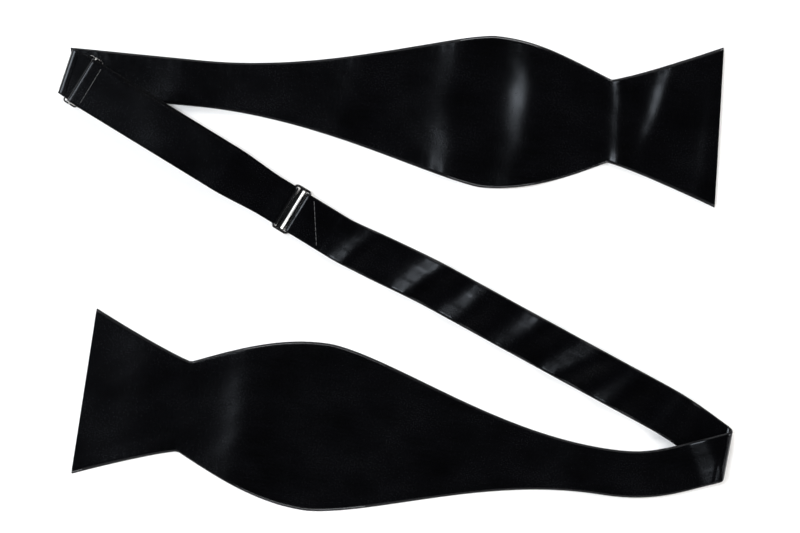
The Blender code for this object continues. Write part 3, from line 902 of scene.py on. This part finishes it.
def buckle():
    rail = LOOP_HALF + GAP + BUCKLE_WIRE / 2
    ring = rounded(frame_corners(MIDDLE, STRAP_BAR_AT, BAND_BAR_AT, rail), BUCKLE_CORNER, closed=True)
    piece = sweep("buckle_wire_frame", ring, BUCKLE_WIRE / 2, closed=True, flatten=0.92)
    finish_piece(piece, ENAMEL)
    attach(piece, "buckle_loop")
    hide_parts("buckle_frame")

    # the dark plate that is seen below the bright bar, with one slanting edge
    half = rail - 0.0001
    low, high = MIDDLE[2] - WEB_DEPTHS[0], MIDDLE[2] - WEB_DEPTHS[1]
    plan = [(-WEB_BEFORE[0], half), (WEB_AFTER, half), (WEB_AFTER, -half), (-WEB_BEFORE[1], -half)]
    corners = [(MIDDLE + ALONG * x + ACROSS * y) * (1, 1, 0) for x, y in plan]
    outline = rounded(corners, WEB_CORNER, closed=True, count=5)
    count = len(outline)
    spots = [p + UP * low for p in outline] + [p + UP * high for p in outline]
    faces = [tuple(range(count)), tuple(range(count, 2 * count))]
    faces += [(i, (i + 1) % count, (i + 1) % count + count, i + count) for i in range(count)]
    piece = mesh_object("buckle_web", spots, faces, [(p[0], p[1]) for p in spots], sharp=40)
    outward(piece)
    finish_piece(piece, ENAMEL)
    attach(piece, "buckle_loop")

    # the bright bar, with a round-ended collar at each end
    reach = rail - BUCKLE_WIRE / 2 - GAP / 2
    spots = np.array([-1, -0.985, -0.955, -0.91, -0.90, 0.90, 0.91, 0.955, 0.985, 1.0])
    sizes = np.array([0.55, 0.80, 1.0, 1.0, 0.88, 0.88, 1.0, 1.0, 0.80, 0.55]) * BUCKLE_BAR / 2
    piece = sweep("buckle_middle_bar", [MIDDLE + ACROSS * reach * x for x in spots], sizes, sides=20)
    finish_piece(piece, NICKEL)
    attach(piece, "buckle_loop")
    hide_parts("buckle_bar")


def slide():
    rail = STRAP_HALF + GAP + SLIDE_WIRE / 2
    middle = SLIDE_PLACE * (1, 1, 0) + UP * SLIDE_FRAME_Z
    ring = rounded(frame_corners(middle, SLIDE_REACH, SLIDE_REACH, rail), SLIDE_CORNER, closed=True)
    piece = sweep("slide_wire_frame", ring, SLIDE_WIRE / 2, closed=True)
    finish_piece(piece, ENAMEL)
    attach(piece, "slide")
    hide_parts("slide_frame")
    foot = SLIDE_PLACE * (1, 1, 0) + UP * (SLIDE_FRAME_Z + SLIDE_WIRE / 2)
    side = ACROSS * rail
    staple = [foot + side, SLIDE_PLACE + side, SLIDE_PLACE - side, foot - side]
    piece = sweep("slide_bridge_bar", rounded(staple, SLIDE_CORNER, closed=False), SLIDE_WIRE / 2)
    finish_piece(piece, DULL_NICKEL)
    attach(piece, "slide")
    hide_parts("slide_bar")


def stitches(name, body, node_name, bar, reaches, half, top):
    """A row of separate stitches: each comes up out of the cloth, lies over it and goes in again.
    reaches are its ends' distances past the bar; top(reach) is the height of the cloth there."""
    spots, faces, uvs = [], [], []
    ends = [bar + ALONG * reaches[0] + ACROSS * half, bar + ALONG * reaches[1] - ACROSS * half]
    line = ends[1] - ends[0]
    pieces = []
    for k in range(STITCHES):
        arc = []
        for t in np.linspace(0, 1, 9):
            share = (k + (1 - STITCH_SHARE) / 2 + STITCH_SHARE * t) / STITCHES
            spot = (ends[0] + line * share) * (1, 1, 0)
            reach = reaches[0] + (reaches[1] - reaches[0]) * share
            rise = STITCH_RISE * math.sin(math.pi * t) ** 0.6
            arc.append(spot + UP * (top(reach) + rise + STITCH_CLEAR))
        pieces.append(sweep(f"{name}_{k}", arc, THREAD_RADIUS, sides=8))
    bpy.context.view_layer.update()
    for piece in pieces:
        start = len(spots)
        spots += [tuple(v.co) for v in piece.data.vertices]
        faces += [tuple(start + i for i in face.vertices) for face in piece.data.polygons]
        mesh = piece.data
        found = {}
        for loop, entry in zip(mesh.loops, mesh.uv_layers["cloth"].data):
            found[loop.vertex_index] = tuple(entry.uv)
        uvs += [found[i] for i in range(len(mesh.vertices))]
        bpy.data.objects.remove(piece, do_unlink=True)
        bpy.data.meshes.remove(mesh)
    obj = mesh_object(name, spots, faces, uvs)
    finish_piece(obj, THREAD)
    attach(obj, body)
    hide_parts(node_name)


def all_stitches():
    def band_top(reach):
        part = min(reach / BAND_LEG, 1)
        return leg_height(BUCKLE_Z, BUCKLE_LOOP_RADIUS, BAND_START_Z, part) + STRAP / 2

    def slide_top(reach):
        return RETURN_Z + STRAP / 2

    half = LOOP_HALF - STITCH_INSET
    stitches("band_stitches", "fixed_band", "fixed_band_tack", BAND_BAR, BAND_TACK, half, band_top)
    half = BAND_HALF - STITCH_INSET
    stitches("slide_stitches", "slide", "slide_tack", SLIDE_PLACE, SLIDE_TACK, half, slide_top)


upper_half()
lower_half()
fixed_band()
strap()
buckle()
slide()
all_stitches()


# Stage

WORLD_STRENGTH = 0.015
COOL, NEUTRAL, WARM = (0.90, 0.95, 1.0), (1.0, 0.99, 0.98), (1.0, 0.985, 0.96)
LIGHTS = [  # name, place, (width, height), power, colour
    ("left", (-1.90, 0.55, 2.60), (1.10, 2.3), 74.0, COOL),
    ("right", (1.90, 0.25, 0.80), (0.8, 1.4), 34.0, NEUTRAL),
    ("top", (0.05, 2.00, 0.84), (1.6, 0.7), 52.0, WARM),
    ("bottom", (0.0, -2.00, 0.80), (1.6, 0.7), 40.0, WARM),
    ("low_left", (-1.90, -0.25, 0.80), (0.8, 1.4), 26.0, NEUTRAL),
]
VIEW_WIDTH = 0.360  # of the floor, seen from straight above
VIEW_AIM = (0.04815, -0.02543)  # the middle of the view, from the buckle


def stage():
    """The sheet of white paper that the tie lies on."""
    white, tree, shader = new_material("white_paper")
    grain = noise(tree, mapped(tree, (1, 1, 1), "Object"), 900.0, 3.0)
    tone = mixed(tree, grain, (0.955, 0.950, 0.945), (0.975, 0.972, 0.968))
    tree.links.new(tone, shader.inputs["Base Color"])
    tree.links.new(bumped(tree, grain, 0.05, 0.00005), shader.inputs["Normal"])
    shader.inputs["Roughness"].default_value = 0.9
    shader.inputs["Specular IOR Level"].default_value = 0.1
    half = 6.0
    corners = [(-half, -half, 0), (half, -half, 0), (half, half, 0), (-half, half, 0)]
    floor = mesh_object("floor", corners, [(0, 1, 2, 3)])
    floor.data.materials.append(white)


def light(name, place, size, power, colour):
    """A soft light aimed at the origin."""
    data = bpy.data.lights.new(name, "AREA")
    data.shape = "RECTANGLE"
    data.size, data.size_y = size
    data.energy = power
    data.color = colour
    obj = bpy.data.objects.new(name, data)
    bpy.context.scene.collection.objects.link(obj)
    obj.location = place
    obj.rotation_euler = (-Vector(place)).to_track_quat("-Z", "Y").to_euler()


def lights():
    world = bpy.data.worlds.new("studio")
    world.use_nodes = True
    background = world.node_tree.nodes["Background"]
    background.inputs["Color"].default_value = (1.0, 1.0, 1.0, 1)
    background.inputs["Strength"].default_value = WORLD_STRENGTH
    bpy.context.scene.world = world
    for settings in LIGHTS:
        light(*settings)


def camera():
    """Looks straight down from above the middle of the view."""
    data = bpy.data.cameras.new("camera")
    data.lens, data.sensor_width = 150.0, 36.0
    obj = bpy.data.objects.new("camera", data)
    bpy.context.scene.collection.objects.link(obj)
    height = VIEW_WIDTH * data.lens / data.sensor_width
    obj.location = (PLAN_MIDDLE[0] + VIEW_AIM[0], PLAN_MIDDLE[1] + VIEW_AIM[1], height)
    data.clip_start = 0.01
    bpy.context.scene.camera = obj


stage()
lights()
camera()
bpy.context.scene.view_settings.view_transform = "Standard"
